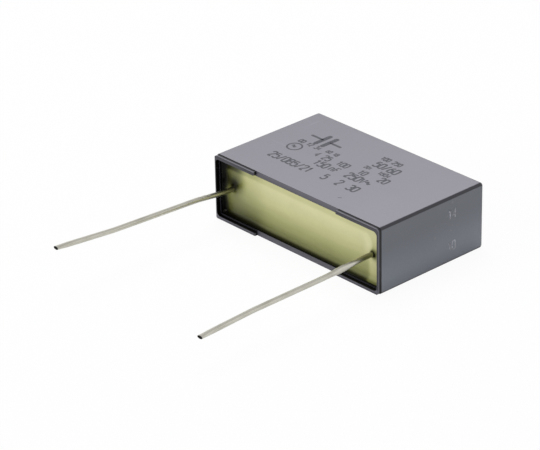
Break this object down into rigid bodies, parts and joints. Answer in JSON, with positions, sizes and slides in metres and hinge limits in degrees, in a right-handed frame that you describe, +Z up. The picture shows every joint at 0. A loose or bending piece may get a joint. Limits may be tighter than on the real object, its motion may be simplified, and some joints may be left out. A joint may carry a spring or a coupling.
{
  "type": "box film capacitor",
  "caption": "Rectangular plastic box, resin-potted at its open end between standoff feet, with stiff wire leads; a film capacitor that suppresses interference on a circuit board.",
  "frame": {"origin": "middle of the case's broad underside, on which it lies", "axes": "+X from the left lead to the right lead, +Y from the board seat into the case, so the leads point along -Y, and +Z up through the thickness"},
  "size_m": [0.0264, 0.0404, 0.0081],
  "materials": {
    "case_plastic": "satin moulded plastic, blue-grey",
    "potting_resin": "poured epoxy, yellow-green, slightly translucent",
    "film": "metallised polypropylene film, wound and pressed",
    "sprayed_zinc": "sprayed zinc, rough and matt",
    "tinned_wire": "tinned copper wire, satin"
  },
  "bodies": {
    "root": {"case": "case_plastic", "potting_resin": "potting_resin", "film_winding": "film", "end_spray_left": "sprayed_zinc", "end_spray_right": "sprayed_zinc", "lead_left": "tinned_wire", "lead_right": "tinned_wire"}
  },
  "joints": []
}
